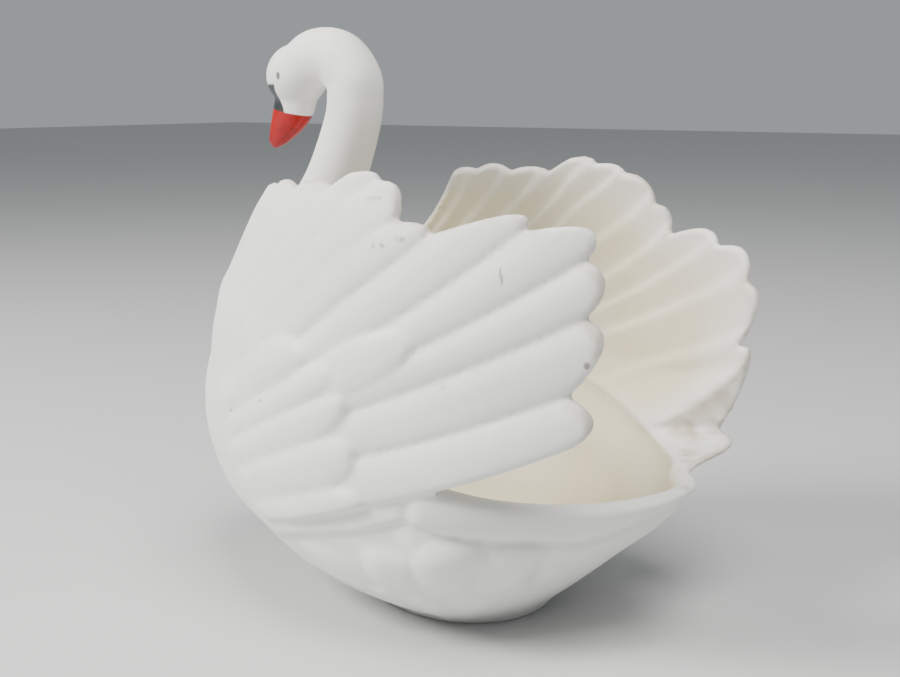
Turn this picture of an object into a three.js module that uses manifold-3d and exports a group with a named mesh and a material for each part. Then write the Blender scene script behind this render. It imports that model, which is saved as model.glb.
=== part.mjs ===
// Porcelain swan figurine: an open bowl with a flat foot, two raised wings of overlapping
// feathers, a pointed tail, a hooked neck, a round head and a short bill, cast in one piece.
// Millimetres, +Z up. The swan looks along -Y and its left wing is on +X. The origin is on the
// flat foot's underside, at the centre of its round rear half.
import * as THREE from 'three';
import { mergeVertices } from 'three/addons/utils/BufferGeometryUtils.js';
import Module from 'manifold-3d';

const wasm = await Module();
wasm.setup();

// Driving dimensions
const height = 115; // foot to the top of the neck's arch
const footRadius = 16; // flat foot, round to the sides and the rear
const footFront = 23; // and longer to the front, under the breast's weight
const bowlWall = 3; // wall of the bowl and the tail
const bowlFloor = 5; // floor over the foot
const wingWall = 3; // thickness of the raised wings
const wingStep = 1.2; // how far the wings stand out from the body under them
const featherRelief = 1.1; // depth of the grooves between the outer feathers
const pleatRelief = 0.8; // depth of the pleats inside the wings
const covertStep = 0.9; // how far the short feathers stand out from the long ones
const rimBand = 0.9; // how far the tail's rim stands out from its side
const rimBandHeight = 6; // height of that band
const bandFade = 1.4; // over this length the band runs out into the side
const rimGroove = 0.7; // depth of the groove under the band
const rimLap = 0.5; // how far the hollow cuts into the wings at the rim, so no slit is left
const puffRelief = 1.8; // height of the highest soft feather puffs on the belly
const edgeRounding = 0.8; // how far the rim and the feather tips are drawn in at their ends
const wingRoot = 2; // how deep the wings start inside the breast

// The free form is given in hundredths of the height.
const hundredth = height / 100;

// Levels of the body and, at each, its reach to the front, to the side and to the rear of the wings
const levels = [0, 4.3, 8.7, 17.4, 26, 34.8, 43.5, 52.2, 61, 69.6, 78.3];
const frontReach = [20, 28.2, 36.6, 50.6, 56.4, 57.2, 54.4, 49.4, 43.4, 37.9, 32];
const sideReach = [13.9, 21, 27, 32.6, 34.4, 35, 35.1, 35.2, 35, 34.2, 32.3];
const wingRearReach = 60.9;
// The tail's levels and its reach to the rear at each
const tailLevels = [0, 7.5, 13.9, 20.3, 27];
const tailReach = [13.9, 22, 29.5, 37, 41.6];
const footBlend = 1; // level at which the body has left the foot's circle
// Height of the bowl's rim at angles from the front
const rimAngles = [0, 30, 60, 90, 112, 128, 150, 180];
const rimHeights = [53, 50, 42, 35, 30.5, 27.8, 26.4, 27.2];

// Feather edges of the left wing from its front edge to its lower edge, each as an angle from the
// front in degrees and a height: where it rises from the breast, where it passes the wing's
// middle, and where it ends as a notch between two feather tips. Then the tips between them.
const leftWing = {
  side: 1,
  rootAngles: [24, 26, 28, 30, 31, 32, 34, 36, 38, 40, 43, 48],
  rootHeights: [43.5, 41, 38.5, 36, 33, 30, 28, 25, 22.5, 20, 17.4, 14],
  middleAngles: [33, 42, 48, 56, 64, 70, 77, 83, 84, 84, 85, 88],
  middleHeights: [57.4, 57.4, 55.7, 55, 54, 52.5, 49.5, 46, 42, 37.5, 31, 24],
  notchAngles: [50, 58, 69, 84, 94.7, 98.7, 103.8, 118.1, 128.4, 128.4, 126, 125],
  notchHeights: [72.6, 74, 74, 74.8, 76, 70.3, 68.4, 69.6, 65.9, 57.6, 46.3, 38],
  tipAngles: [52, 63, 77, 92.4, 98.6, 103.6, 117, 128.6, 131.6, 131.6, 130.2],
  tipHeights: [74.2, 75.3, 75.7, 77.4, 75, 70, 72.1, 70.3, 62.4, 53.8, 42.4],
  leavesBody: [101, 110], // between these angles the wing parts from the body
  draws: null, // it stays out on its oval to the last feather
};
// The right wing is not quite its mirror, and has a last feather that joins the tail's rim
const rightWing = {
  side: -1,
  rootAngles: [...leftWing.rootAngles, 50],
  rootHeights: [...leftWing.rootHeights, 12],
  middleAngles: [42, 46, 50, ...leftWing.middleAngles.slice(3), 103],
  middleHeights: [...leftWing.middleHeights, 23.5],
  notchAngles: [50, 58, 69, 82, 95, 101, 107.4, 110.8, 122, 130.4, 127.9, 124.6, 158],
  notchHeights: [72, 74.3, 74, 74, 75.7, 74.3, 68.8, 63.5, 62.3, 56.7, 44.7, 29.4, 24.5],
  tipAngles: [51.7, 63.3, 76, 91.6, 99, 105.2, 109.9, 118.6, 128.4, 132.7, 130.8, 148],
  tipHeights: [74.2, 75.3, 74.8, 76.9, 75.7, 72.8, 67.5, 65.1, 62, 52.8, 43, 27.6],
  leavesBody: [148, 158],
  draws: [10.9, 11.9], // between these feather edges it draws in to the tail
};
// Behind these angles the wings' foot fills the wedge down to the body, up to levels over the rim
const wedgeAngles = [72, 90];
const wedgeLevels = [0.5, 6];
// Share of a feather's width at which it is highest and its tip reaches furthest
const tipSkew = 0.62;
// Where the row of short feathers ends along each feather edge, as a share of its length
const covertEnds = [0.5, 0.5, 0.5, 0.5, 0.52, 0.56, 0.62, 0.68, 0.71, 0.57, 0.566, 0.54, 0.5];
const covertLobe = 0.05;
const rootShare = 0.45; // share of a feather's length over which the wing comes out of the breast
const covertShare = 0.5; // depth of the grooves between the short feathers, to the long ones'
const deepBetween = [4.9, 6.4]; // between these edges the feathers turn from faint to deep
const faintRelief = 0.16; // depth of the faint grooves, to the deep ones'

// Neck: centre line in the swan's middle plane, as reach to the front and height, with its radius
const neckReach = [51.5, 49, 44.5, 37, 31, 26.6, 25.7, 26.2, 29.5, 34.5, 38.6];
const neckHeights = [38.5, 45, 53, 64, 72.5, 83, 88.5, 91.5, 94.7, 94.9, 92.6];
const neckRadii = [1, 4.5, 6.6, 6, 5.5, 5.1, 5.05, 5.05, 5.15, 5.3, 4.9];
// Head: an egg, and the bill that leaves it forward and down
const headReach = 39.4;
const headHeight = 92;
const headLength = 6;
const headTall = 5.7;
const headWidth = 5.5;
const billReach = [38.8, 40.7, 44, 45.9];
const billHeights = [90, 85.8, 81.3, 79];
const billDepths = [3.6, 4.1, 2.5, 1];
const billWidths = [3.4, 3.1, 1.7, 0.9];

// Soft feather puffs of the belly, each as its angle from the front, its level, half its width in
// degrees, half its height and its rise as a share of the highest
const puffList = [
  [137.5, 15.6, 9.5, 6, 1],
  [118.5, 15.4, 12, 6.6, 1],
  [97, 14.2, 12, 6, 0.8],
  [75, 11.2, 12, 5, 0.6],
  [54, 9.8, 11, 4.4, 0.4],
  [128.5, 8, 10, 3.6, 0.5],
  [108, 7.6, 11, 3.4, 0.5],
  [87, 7, 11, 3.2, 0.4],
];

// Funnel that keeps the mouth open above the rim, as shares of the rim's width and a level
const mouthShare = 0.6;
const mouthLevel = 75;

// Rows and columns of the faceted skins
const bodyColumns = 60;
const bodyRows = 12;
const hollowRows = 8;
const meetingGap = 0.02; // keeps the hollow's edge off the rim's plane
const rowCrowding = 1.15; // over 1, rows lie closer near the foot
const neckSides = 14;
const faintFeathers = 5; // of each wing, from its front
const faintShares = [0, 0.38, 0.78]; // columns across a faint feather
const deepShares = [0, 0.3, 0.62, 0.88]; // and across a deep one

// A smooth value between listed ones
function follow(places, values, place) {
  const last = places.length - 1;
  let i = 0;
  while (i < last - 1 && place > places[i + 1]) i += 1;
  const share = THREE.MathUtils.clamp((place - places[i]) / (places[i + 1] - places[i]), 0, 1);
  const before = values[Math.max(i - 1, 0)];
  const after = values[Math.min(i + 2, last)];
  const low = values[i];
  const high = values[i + 1];
  const bend = 2 * before - 5 * low + 4 * high - after;
  const turn = 3 * low - before - 3 * high + after;
  return low + 0.5 * share * (high - before + share * (bend + share * turn));
}

// The same for a list whose places are 0, 1, 2 and so on
function along(values, place) {
  return follow(values.map((value, index) => index), values, place);
}

// A superellipse quarter's share of its half axis
function squared(value, exponent) {
  return Math.sign(value) * Math.abs(value) ** (2 / exponent);
}

// A point of the wings' oval shell at an angle from the front and a height in hundredths
function shellPoint(angle, level) {
  const turn = THREE.MathUtils.degToRad(angle);
  const front = Math.cos(turn) > 0 ? follow(levels, frontReach, level) : wingRearReach;
  const reach = front * Math.cos(turn);
  const side = follow(levels, sideReach, level) * Math.sin(turn);
  return new THREE.Vector3(side, -reach, level).multiplyScalar(hundredth);
}

// A point of the body's skin, with the foot's true radius at the bottom
function bodyPoint(angle, level) {
  const turn = THREE.MathUtils.degToRad(angle);
  const rear = Math.cos(turn) < 0;
  const reach = rear ? follow(tailLevels, tailReach, level) : follow(levels, frontReach, level);
  const pointed = rear ? 2 - 0.55 * THREE.MathUtils.smoothstep(level, 5, 24) * -Math.cos(turn) : 2;
  const x = follow(levels, sideReach, level) * squared(Math.sin(turn), pointed);
  const y = -reach * squared(Math.cos(turn), pointed);
  const point = new THREE.Vector3(x, y, level).multiplyScalar(hundredth);
  const footLength = rear ? footRadius : footFront;
  const foot = new THREE.Vector3(footRadius * Math.sin(turn), -footLength * Math.cos(turn), 0);
  return point.lerp(foot.setZ(point.z), 1 - THREE.MathUtils.smoothstep(level, 0, footBlend));
}

// The outward normal of a skin at an angle and a level
function skinNormal(skin, angle, level) {
  const step = 0.5;
  const across = skin(angle + step, level).sub(skin(angle - step, level));
  const up = skin(angle, level + step).sub(skin(angle, Math.max(level - step, 0)));
  return across.cross(up).normalize();
}

function skinAt(skin, angle, level, out) {
  return skin(angle, level).addScaledVector(skinNormal(skin, angle, level), out);
}

// A closed solid from rows of points, each row a ring, with a fan over each end
function ringSolid(rings) {
  const sides = rings[0].length;
  const points = rings.flat();
  const faces = [];
  for (let row = 0; row < rings.length - 1; row += 1) {
    for (let i = 0; i < sides; i += 1) {
      const a = row * sides + i;
      const b = row * sides + ((i + 1) % sides);
      faces.push(a, b, b + sides, a, b + sides, a + sides);
    }
  }
  for (const [row, flip] of [[0, true], [rings.length - 1, false]]) {
    const centre = new THREE.Vector3();
    rings[row].forEach((point) => centre.add(point));
    points.push(centre.divideScalar(sides));
    for (let i = 0; i < sides; i += 1) {
      const a = row * sides + i;
      const b = row * sides + ((i + 1) % sides);
      faces.push(...(flip ? [b, a] : [a, b]), points.length - 1);
    }
  }
  return toSolid(points, faces);
}

// A closed sheet from two grids of points that share their size, the outer and the inner
function sheetSolid(outer, inner) {
  const rows = outer.length;
  const columns = outer[0].length;
  const points = [...outer.flat(), ...inner.flat()];
  const skin = rows * columns;
  const faces = [];
  const quad = (a, b, c, d) => faces.push(a, c, b, a, d, c);
  for (let r = 0; r < rows - 1; r += 1) {
    for (let c = 0; c < columns - 1; c += 1) {
      const a = r * columns + c;
      quad(a, a + columns, a + columns + 1, a + 1);
      quad(skin + a, skin + a + 1, skin + a + columns + 1, skin + a + columns);
    }
  }
  for (let c = 0; c < columns - 1; c += 1) {
    const end = (rows - 1) * columns + c;
    quad(c, c + 1, skin + c + 1, skin + c);
    quad(end + 1, end, skin + end, skin + end + 1);
  }
  for (let r = 0; r < rows - 1; r += 1) {
    const a = r * columns;
    const b = a + columns - 1;
    quad(a + columns, a, skin + a, skin + a + columns);
    quad(b, b + columns, skin + b + columns, skin + b);
  }
  return toSolid(points, faces);
}

function toSolid(points, faces) {
  const geometry = new THREE.BufferGeometry();
  const flat = points.flatMap((point) => point.toArray());
  geometry.setAttribute('position', new THREE.Float32BufferAttribute(flat, 3));
  geometry.setIndex(faces);
  return solidOf(geometry);
}

function solidOf(geometry) {
  geometry.deleteAttribute('normal');
  geometry.deleteAttribute('uv');
  const merged = mergeVertices(geometry, 1e-4);
  const vertProperties = new Float32Array(merged.attributes.position.array);
  const triVerts = new Uint32Array(merged.index.array);
  return new wasm.Manifold(new wasm.Mesh({ numProp: 3, vertProperties, triVerts }));
}

// The puffs of soft feathers on the belly: low domes that meet in creases
function puffs(angle, level) {
  let rise = 0;
  for (const [puffAngle, puffLevel, width, tall, share] of puffList) {
    const far = Math.hypot((Math.abs(angle) - puffAngle) / width, (level - puffLevel) / tall);
    rise = Math.max(rise, share * (1 - far * far));
  }
  return rise * puffRelief;
}

// How far the skin at an angle lies under a wing: 1 below it, 0 on the tail
function underWing(angle) {
  const [start, end] = angle > 0 ? leftWing.leavesBody : rightWing.leavesBody;
  return 1 - THREE.MathUtils.smoothstep(Math.abs(angle), start, end);
}

// The angles round the body, from -180 to 180 with 0 at the front
function bodyAngles() {
  return Array.from({ length: bodyColumns }, (unused, i) => {
    const angle = (360 * i) / bodyColumns;
    return angle > 180 ? angle - 360 : angle;
  });
}

// The full body, before it is hollowed: foot, belly, breast and tail up to the rim
function bodySolid() {
  const rings = [];
  for (let row = 0; row <= bodyRows; row += 1) {
    const ring = [];
    for (const angle of bodyAngles()) {
      const rim = follow(rimAngles, rimHeights, Math.abs(angle));
      const level = rim * (row / bodyRows) ** rowCrowding;
      const fromRim = (rim - level) * hundredth;
      const under = underWing(angle);
      const underBand = THREE.MathUtils.smoothstep(fromRim, rimBandHeight, rimBandHeight + bandFade);
      const groove = rimGroove * underBand * (1 - underBand) * 4;
      const band = (1 - under) * (rimBand * (1 - underBand) - groove);
      const edge = row === bodyRows ? edgeRounding * (1 - under) : 0;
      const out = band + puffs(angle, level) - wingStep * under - edge;
      const point = row === 0 ? bodyPoint(angle, 0) : skinAt(bodyPoint, angle, level, out);
      ring.push(point.setZ(level * hundredth));
    }
    rings.push(ring);
  }
  return ringSolid(rings);
}

// The hollow of the bowl, which opens upwards past the rim
function hollowSolid() {
  const rings = [];
  // A wall's depth above this level, the skin's inner side reaches the floor
  const start = (bowlFloor - bowlWall) / hundredth;
  const atRim = wingWall - wingStep + rimLap;
  for (let row = 0; row <= hollowRows; row += 1) {
    const share = row / hollowRows;
    const ring = [];
    for (const angle of bodyAngles()) {
      const rim = follow(rimAngles, rimHeights, Math.abs(angle));
      const level = THREE.MathUtils.lerp(start, rim, share ** rowCrowding);
      const thin = underWing(angle) * THREE.MathUtils.smoothstep(share, 0.6, 1);
      const depth = THREE.MathUtils.lerp(bowlWall + wingStep * underWing(angle), atRim, thin);
      const point = skinAt(bodyPoint, angle, level, -depth);
      if (row === 0) point.setZ(bowlFloor);
      if (row === hollowRows) point.setZ(rim * hundredth + meetingGap);
      ring.push(point);
    }
    rings.push(ring);
  }
  const mouth = rings[hollowRows].map((point) => point.clone().multiplyScalar(mouthShare));
  mouth.forEach((point) => point.setZ(mouthLevel * hundredth));
  return ringSolid([...rings, mouth]);
}

// Angle or height at a place across a wing and a share of the way along the feather
function streamValue(root, middle, notches, across, share) {
  const feather = Math.min(Math.floor(across), notches.length - 2);
  const a = along(root, across);
  const b = along(middle, across);
  const c = THREE.MathUtils.lerp(notches[feather], notches[feather + 1], across - feather);
  return a + share * (4 * b - 3 * a - c) + 2 * share * share * (a - 2 * b + c);
}

// How far a feather's rounded tip reaches past the line between its notches
function tipReach(tips, notches, across, share) {
  const feather = Math.min(Math.floor(across), tips.length - 1);
  const warped = (across - feather) ** (Math.log(0.5) / Math.log(tipSkew));
  const lobe = Math.max(Math.sin(Math.PI * warped), 0) ** 0.6 * share ** 5;
  return lobe * (tips[feather] - THREE.MathUtils.lerp(notches[feather], notches[feather + 1], tipSkew));
}

// A point of a wing's outer skin before its relief, with or without the rounded tips
function wingPoint(wing, across, share, tipped) {
  let angle = streamValue(wing.rootAngles, wing.middleAngles, wing.notchAngles, across, share);
  let level = streamValue(wing.rootHeights, wing.middleHeights, wing.notchHeights, across, share);
  if (tipped) {
    angle += tipReach(wing.tipAngles, wing.notchAngles, across, share);
    level += tipReach(wing.tipHeights, wing.notchHeights, across, share);
  }
  const cling = wing.draws ? THREE.MathUtils.smoothstep(across, ...wing.draws) : 0;
  const turned = angle * wing.side;
  return shellPoint(turned, level).lerp(bodyPoint(turned, level), cling);
}

// Where the wing's inner skin goes to fill the wedge between it and the body, and how much of it
function wedge(wing, across, share) {
  const angle = streamValue(wing.rootAngles, wing.middleAngles, wing.notchAngles, across, share);
  const level = streamValue(wing.rootHeights, wing.middleHeights, wing.notchHeights, across, share);
  const rim = follow(rimAngles, rimHeights, angle);
  const turned = angle * wing.side;
  const joined = wing.draws ? 1 : underWing(turned);
  const behind = THREE.MathUtils.smoothstep(angle, ...wedgeAngles) * joined;
  const low = 1 - THREE.MathUtils.smoothstep(level - rim, ...wedgeLevels);
  return [skinAt(bodyPoint, turned, Math.min(level, rim), -bowlWall), behind * low];
}

// The direction out of a wing's skin
function wingNormal(wing, across, share) {
  const step = 0.04;
  const before = Math.max(across - step, 0);
  const after = Math.min(across + step, wing.tipAngles.length);
  const down = wingPoint(wing, after, share, false).sub(wingPoint(wing, before, share, false));
  const back = wingPoint(wing, across, share + step, false).sub(wingPoint(wing, across, share - step, false));
  return down.cross(back).normalize().multiplyScalar(wing.side);
}

// The rounded section of a feather, lowest at its edges
function pillow(inFeather) {
  const above = (tipSkew - inFeather) / tipSkew;
  const below = (inFeather - tipSkew) / (1 - tipSkew);
  const side = Math.max(above, below);
  return 1 - side ** 2.4;
}

// Places across a wing for its columns
function wingColumns(wing) {
  const places = [];
  for (let feather = 0; feather < wing.tipAngles.length; feather += 1) {
    const shares = feather < faintFeathers ? faintShares : deepShares;
    places.push(...shares.map((share) => feather + share));
  }
  places.push(wing.tipAngles.length);
  return places;
}

// One wing: a closed sheet of feathers from the breast to the tips, with a row of short feathers
// over the long ones
function wingSolid(wing) {
  const smooth = THREE.MathUtils.smoothstep;
  const beforeStep = [0, 0.14, 0.42, 0.72, 0.97];
  const afterStep = [0.03, 0.33, 0.62, 0.85, 1];
  const outer = [];
  const inner = [];
  for (const [row, stepShare] of [...beforeStep, ...afterStep].entries()) {
    const covered = row < beforeStep.length;
    const atTip = row === beforeStep.length + afterStep.length - 1;
    const outerRow = [];
    const innerRow = [];
    for (const across of wingColumns(wing)) {
      const inFeather = across % 1;
      const covertPlace = along(covertEnds, across) + covertLobe * Math.cos(2 * Math.PI * inFeather);
      const share = covered ? covertPlace * stepShare : THREE.MathUtils.lerp(covertPlace, 1, stepShare);
      const point = wingPoint(wing, across, share, true);
      const normal = wingNormal(wing, across, share);
      const deep = smooth(across, ...deepBetween);
      const rooted = smooth(share, 0, rootShare);
      const near = smooth(share, 0.1, 0.4) * THREE.MathUtils.lerp(faintRelief, 1, deep);
      const grown = Math.max(near, smooth(share, 0.75, 1) * 0.8);
      const section = covered ? pillow((across + 0.5) % 1) : pillow(inFeather);
      const depth = featherRelief * grown * (covered ? covertShare : 1);
      const relief = depth * (section - 1) + (covered ? covertStep * deep * rooted : 0);
      const base = THREE.MathUtils.lerp(-wingRoot, wingStep, rooted);
      const edge = atTip ? edgeRounding : 0;
      const pleat = pleatRelief * smooth(share, 0.3, 0.8) * inFeather;
      outerRow.push(point.clone().addScaledVector(normal, base + relief - edge));
      const [seat, filled] = wedge(wing, across, share);
      const inside = point.clone().addScaledVector(normal, base - wingWall + pleat + edge);
      innerRow.push(inside.lerp(seat, filled));
    }
    outer.push(outerRow);
    inner.push(innerRow);
  }
  return wing.side > 0 ? sheetSolid(outer, inner) : sheetSolid(inner, outer);
}

// A tube of oval sections round a line in the middle plane
function tubeSolid(reach, heights, radii, widths, steps) {
  const line = new THREE.CatmullRomCurve3(
    reach.map((value, i) => new THREE.Vector3(0, -value, heights[i]).multiplyScalar(hundredth)),
    false,
    'centripetal',
  );
  const rings = [];
  for (let row = 0; row <= steps; row += 1) {
    const t = row / steps;
    const centre = line.getPoint(t);
    const along3 = line.getTangent(t);
    const side = new THREE.Vector3(1, 0, 0);
    const up = along3.clone().cross(side).normalize();
    const place = t * (radii.length - 1);
    const ring = [];
    for (let i = 0; i < neckSides; i += 1) {
      const turn = (2 * Math.PI * i) / neckSides;
      ring.push(centre.clone()
        .addScaledVector(side, Math.cos(turn) * along(widths, place) * hundredth)
        .addScaledVector(up, Math.sin(turn) * along(radii, place) * hundredth));
    }
    rings.push(ring);
  }
  return ringSolid(rings);
}

function headSolid() {
  const geometry = new THREE.SphereGeometry(1, neckSides, 10);
  const tilt = Math.atan2(billHeights[0] - billHeights[3], billReach[3] - billReach[0]);
  geometry.scale(headWidth * hundredth, headLength * hundredth, headTall * hundredth);
  geometry.rotateX(tilt / 2);
  geometry.translate(0, -headReach * hundredth, headHeight * hundredth);
  return solidOf(geometry);
}

const bowl = bodySolid().add(wingSolid(leftWing)).add(wingSolid(rightWing)).subtract(hollowSolid());
const neck = tubeSolid(neckReach, neckHeights, neckRadii, neckRadii, 26);
const bill = tubeSolid(billReach, billHeights, billDepths, billWidths, 6);
const joined = bowl.add(neck).add(headSolid()).add(bill);
// Hair-thin voids where two skins all but touch are filled, which leaves the one outer skin
const swanSolid = joined.decompose().reduce((a, b) => (a.volume() > b.volume() ? a : b));

const mesh = swanSolid.getMesh();
const geometry = new THREE.BufferGeometry();
geometry.setAttribute('position', new THREE.Float32BufferAttribute(mesh.vertProperties, 3));
geometry.setIndex(new THREE.Uint32BufferAttribute(mesh.triVerts, 1));
geometry.computeVertexNormals();

const bisque = new THREE.MeshStandardMaterial({ color: 0xf1efe9, roughness: 0.75, metalness: 0 });
const swan = new THREE.Mesh(geometry, bisque);
swan.name = 'swan';

const group = new THREE.Group();
group.add(swan);

export default group;
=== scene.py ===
# %% [markdown]
# The figurine is one unglazed porcelain casting: a swan whose hollow body is a bowl. Nothing on it
# is a separate part, so the scene makes one mesh from overlapping closed shapes and lets a voxel
# remesh melt them together, as wet slip does in a mould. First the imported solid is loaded, because
# every size below has to stay inside its box.
# %% Load the frame
import math
import bmesh
import bpy
import numpy as np
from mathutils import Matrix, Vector
from mathutils.kdtree import KDTree


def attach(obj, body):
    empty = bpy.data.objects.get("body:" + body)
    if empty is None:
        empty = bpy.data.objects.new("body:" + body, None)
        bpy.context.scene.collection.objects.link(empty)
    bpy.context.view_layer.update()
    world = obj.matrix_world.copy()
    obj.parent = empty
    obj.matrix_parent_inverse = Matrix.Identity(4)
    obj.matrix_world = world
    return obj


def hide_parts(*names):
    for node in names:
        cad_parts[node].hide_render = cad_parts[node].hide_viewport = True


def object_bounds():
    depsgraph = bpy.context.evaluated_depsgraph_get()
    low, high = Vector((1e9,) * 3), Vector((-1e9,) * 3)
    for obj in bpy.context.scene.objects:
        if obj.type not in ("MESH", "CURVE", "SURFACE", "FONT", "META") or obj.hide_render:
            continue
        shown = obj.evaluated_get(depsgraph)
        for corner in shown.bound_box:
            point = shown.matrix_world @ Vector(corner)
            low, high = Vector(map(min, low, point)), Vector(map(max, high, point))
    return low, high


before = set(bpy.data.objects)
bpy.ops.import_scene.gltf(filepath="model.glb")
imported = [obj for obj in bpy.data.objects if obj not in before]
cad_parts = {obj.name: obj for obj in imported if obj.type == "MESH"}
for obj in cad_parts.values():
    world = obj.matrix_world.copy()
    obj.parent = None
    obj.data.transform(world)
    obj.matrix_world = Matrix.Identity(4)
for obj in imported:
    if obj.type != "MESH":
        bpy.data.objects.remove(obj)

cad_low, cad_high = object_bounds()
print("solid's box in mm", [round(v * 1000, 1) for v in (*cad_low, *cad_high)])

# %% [markdown]
# Sizes are named in millimetres and turned into metres when a mesh is made. The free form is given
# in hundredths of the height, so the proportions stay readable beside a drawing of the swan.
# %% Sizes
MM = 0.001
height = cad_high.z / MM
hundredth = height / 100
foot_radius = 16  # flat foot, round to the sides and the rear
foot_front = 23  # and longer to the front, under the breast's weight
bowl_wall = 3
bowl_floor = 5
wing_wall = 3
wing_step = 1.2  # how far a wing stands out from the body
wing_root = 2  # how deep it starts inside the breast
feather_groove = 1.3
faint_relief = 0.16  # share of the relief that the smooth front of a wing keeps
pleat_relief = 0.9
covert_step = 1.3  # how far the short feathers stand out from the long ones
rim_band = 1.9
rim_radius = 1.5
print(f"height {height:.1f} mm, one hundredth is {hundredth:.3f} mm")

# %% [markdown]
# A smooth form needs only a few sections. A Catmull-Rom curve through listed values gives every
# value between them, and numpy works it out for all the points of a mesh at once.
# %% Curves through listed values
def follow(places, values, at):
    places, values, at = (np.asarray(v, float) for v in (places, values, at))
    last = len(places) - 1
    i = np.clip(np.searchsorted(places, at) - 1, 0, last - 1)
    share = np.clip((at - places[i]) / (places[i + 1] - places[i]), 0, 1)
    before, after = values[np.maximum(i - 1, 0)], values[np.minimum(i + 2, last)]
    low, high = values[i], values[i + 1]
    bend = 2 * before - 5 * low + 4 * high - after
    turn = 3 * low - before - 3 * high + after
    return low + 0.5 * share * (high - before + share * (bend + share * turn))


def along(values, at):
    return follow(range(len(values)), values, at)


def smooth(at, start, end):
    share = np.clip((np.asarray(at, float) - start) / (end - start), 0, 1)
    return share * share * (3 - 2 * share)


def mix(a, b, share):
    return a + (b - a) * share


print("curve through 0, 1 and 4, halfway to the last:", round(float(along([0, 1, 4], 1.5)), 2))

# %% [markdown]
# The body is an oval bowl with a pointed tail. At each level it reaches so far to the front, the
# sides and the rear. Such tables are read off the outline of the real swan, and a smooth curve
# through a few good values looks more like clay than many values that wobble.
# %% Reaches of the body
levels = [0, 4.3, 8.7, 17.4, 26, 34.8, 43.5, 52.2, 61, 69.6, 78.3]
front_reach = [20, 28.2, 36.6, 50.6, 56.4, 57.2, 54.4, 49.4, 43.4, 37.9, 32]
side_reach = [13.9, 21, 27, 32.6, 34.4, 35, 35.1, 35.2, 35, 34.2, 32.3]
wing_rear_reach = 60.9
tail_levels = [0, 7.5, 13.9, 20.3, 27]
tail_reach = [13.9, 22, 29.5, 37, 41.6]
rim_angles = [0, 30, 60, 90, 112, 128, 150, 180]
rim_heights = [53, 50, 42, 35, 30.5, 27.8, 26.4, 27.2]
breast, tail_end = front_reach[5] * hundredth, tail_reach[-1] * hundredth
print(f"breast at {breast:.1f} mm to the front, tail at {tail_end:.1f} mm to the rear")

# %% [markdown]
# A superellipse joins the reaches at each level. It is an oval at the breast and draws to a point
# towards the tail, except near the foot, which is round. The wings lie on a wider oval shell
# outside the body.
# %% Body and shell
oval = 2
tail_pointedness = 0.55
pointed_levels = (5, 24)
foot_blend = 1
normal_step = 0.5


def shell_point(angle, level):
    turn = np.radians(angle)
    front = np.where(np.cos(turn) > 0, follow(levels, front_reach, level), wing_rear_reach)
    side = follow(levels, side_reach, level)
    return np.stack([side * np.sin(turn), -front * np.cos(turn), level], -1) * hundredth


def power(value, exponent):
    return np.sign(value) * np.abs(value) ** (oval / exponent)


def body_point(angle, level):
    turn = np.radians(angle)
    rear = np.cos(turn) < 0
    reach = np.where(rear, follow(tail_levels, tail_reach, level), follow(levels, front_reach, level))
    pointed = np.where(rear, oval + tail_pointedness * smooth(level, *pointed_levels) * np.cos(turn), oval)
    x = follow(levels, side_reach, level) * power(np.sin(turn), pointed)
    y = -reach * power(np.cos(turn), pointed)
    point = np.stack([x, y, level], -1) * hundredth
    length = np.where(rear, foot_radius, foot_front)
    foot = np.stack([np.sin(turn) * foot_radius, -np.cos(turn) * length, point[..., 2]], -1)
    return mix(foot, point, smooth(level, 0, foot_blend)[..., None])


def unit(vectors):
    return vectors / np.maximum(np.linalg.norm(vectors, axis=-1, keepdims=True), 1e-9)


def body_normal(angle, level):
    across = body_point(angle + normal_step, level) - body_point(angle - normal_step, level)
    below = np.maximum(level - normal_step, 0)
    up = body_point(angle, level + normal_step) - body_point(angle, below)
    return unit(np.cross(across, up))


side_place = body_point(np.array([90.0]), np.array([35.0]))[0]
print("the body's side at a third of its height, in mm:", side_place.round(1))

# %% [markdown]
# A grid is the start of every skin here: bmesh makes it flat, and each of its points is then moved
# to its place on the form. Where the grid wraps round, its first and last columns meet and are
# merged, and the open ends are filled. The normals are then turned outwards.
# %% Grid helpers
def grid(columns, rows):
    bm = bmesh.new()
    bmesh.ops.create_grid(bm, x_segments=columns - 1, y_segments=rows - 1, size=1)
    bm.verts.ensure_lookup_table()
    places = np.array([v.co[:2] for v in bm.verts]) / 2 + 0.5
    return bm, places[:, 0], places[:, 1]


def move(verts, points):
    for vert, point in zip(verts, points * MM):
        vert.co = point


def boundary(bm):
    return [edge for edge in bm.edges if edge.is_boundary]


def finish_piece(bm, name):
    bmesh.ops.recalc_face_normals(bm, faces=bm.faces)
    if bm.calc_volume(signed=True) < 0:
        bmesh.ops.reverse_faces(bm, faces=bm.faces)
    mesh = bpy.data.meshes.new(name)
    bm.to_mesh(mesh)
    bm.free()
    piece = bpy.data.objects.new(name, mesh)
    bpy.context.scene.collection.objects.link(piece)
    return piece


def wrapped(columns, rows, place, name):
    bm, u, v = grid(columns, rows)
    move(bm.verts, place(u, v))
    bmesh.ops.remove_doubles(bm, verts=bm.verts, dist=1e-6)
    bmesh.ops.holes_fill(bm, edges=boundary(bm), sides=0)
    return finish_piece(bm, name)


flat, u, v = grid(5, 3)
print("a grid of 5 by 3 has", len(flat.verts), "points, u runs from", u.min(), "to", u.max())
flat.free()

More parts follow.
